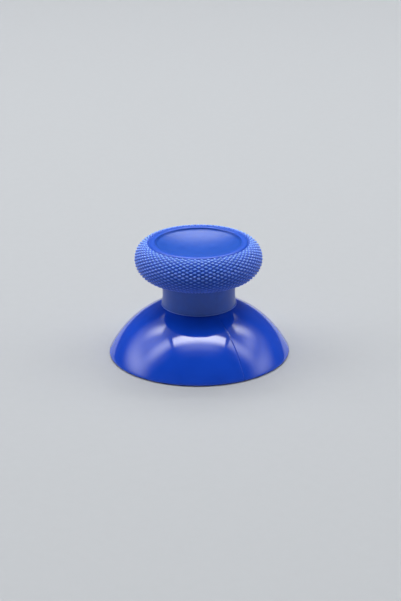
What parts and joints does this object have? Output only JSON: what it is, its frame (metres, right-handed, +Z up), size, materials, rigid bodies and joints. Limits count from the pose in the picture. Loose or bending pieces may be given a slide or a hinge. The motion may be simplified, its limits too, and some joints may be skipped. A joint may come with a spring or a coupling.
{
  "type": "controller thumb grip",
  "caption": "Thumb grip for a game controller stick: a soft dished cap with a diamond-knurled rim on a hard glossy dome, with a flatted socket underneath.",
  "frame": {"origin": "centre of the dome's rim plane, on which the part stands", "axes": "+Z up along the stem, towards the dished top; the socket's flats face +Y and -Y"},
  "size_m": [0.0256, 0.0256, 0.0164],
  "materials": {
    "dome_gloss": "polished moulded plastic, deep blue",
    "cap_soft": "matt soft-touch overmould, blue"
  },
  "bodies": {
    "root": {"dome_stem": "dome_gloss", "soft_grip": "cap_soft"}
  },
  "joints": []
}
